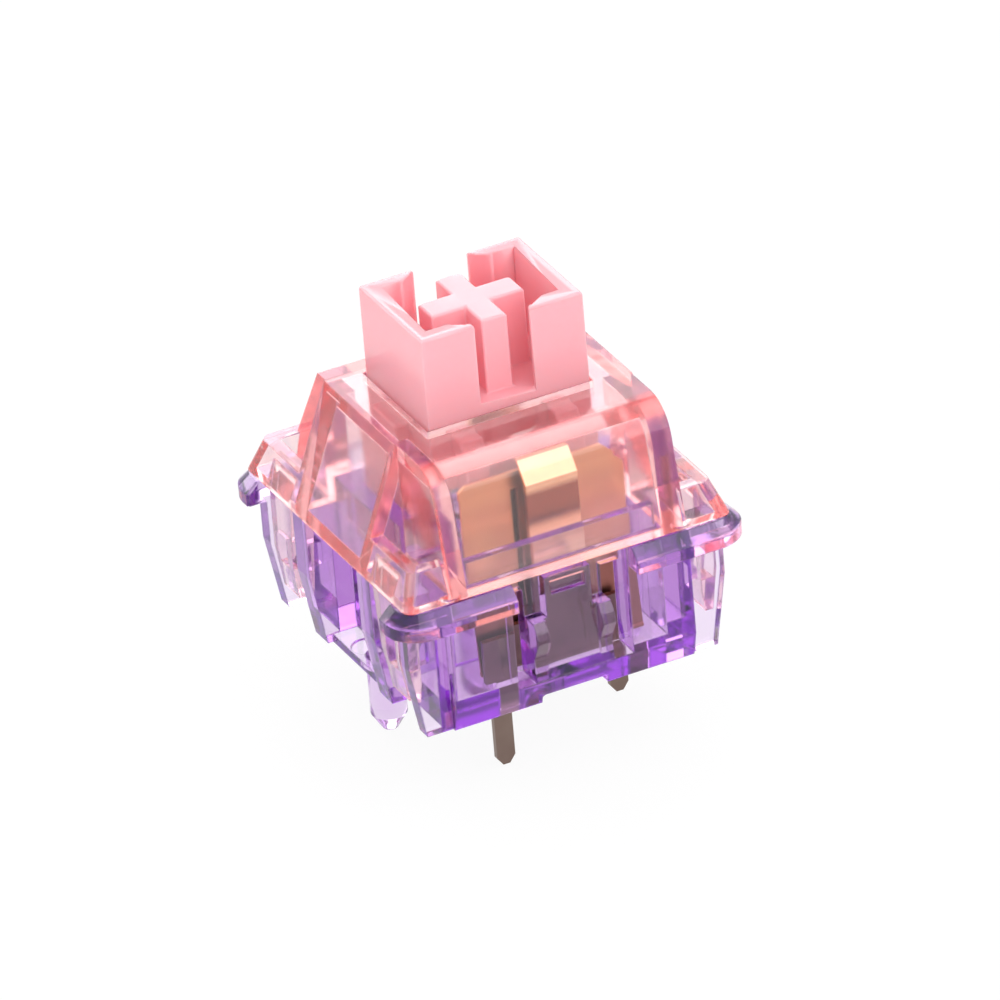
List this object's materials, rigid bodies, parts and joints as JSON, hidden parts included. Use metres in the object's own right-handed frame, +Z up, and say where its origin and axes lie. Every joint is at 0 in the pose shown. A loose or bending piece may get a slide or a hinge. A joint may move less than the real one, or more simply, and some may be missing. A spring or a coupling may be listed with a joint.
{
  "type": "keyboard key switch",
  "caption": "Mechanical key switch with clear housings, a sprung plunger with a cross for a keycap, snap-in clips, locating posts and solder pins.",
  "frame": {"origin": "centre of the centre post where it meets the underside of the lower housing, on the circuit board's surface", "axes": "+Z up along the plunger's travel to the keycap, -Y towards the side with the contact leaf and the solder pins, +X to the right of that side"},
  "size_m": [0.0156, 0.0156, 0.0184],
  "materials": {
    "clear_violet": "clear tinted polycarbonate, moulded gloss",
    "clear_pink": "clear tinted polycarbonate, moulded gloss",
    "pink_plastic": "satin acetal",
    "spring_steel": "drawn wire",
    "terminal_metal": "tinned, satin",
    "leaf_metal": "bright rolled sheet",
    "gold_contact": "gold plated"
  },
  "bodies": {
    "housing": {"lower_housing": "clear_violet", "upper_housing": "clear_pink", "fixed_terminal": "terminal_metal", "fixed_contact_point": "gold_contact", "leaf_terminal": "terminal_metal", "return_spring": "spring_steel"},
    "plunger": {"stem": "pink_plastic"},
    "leaf": {"contact_leaf": "leaf_metal", "leaf_contact_point": "gold_contact"}
  },
  "joints": [
    {"name": "stem_press", "type": "slide", "parent": "housing", "child": "plunger", "axis": [0, 0, -1], "range_m": [0, 0.0036], "stiffness_N_per_m": 75, "springref_m": -0.004, "deforming": ["return_spring"]},
    {"name": "leaf_flex", "type": "hinge", "parent": "housing", "child": "leaf", "pos_m": [0, -0.00478, 0.0013], "axis": [-1, 0, 0], "range_deg": [0, 4.3]}
  ],
  "couplings": [
    {"joint": "leaf_flex", "follows": "stem_press", "rad_per_m": 20.4}
  ]
}
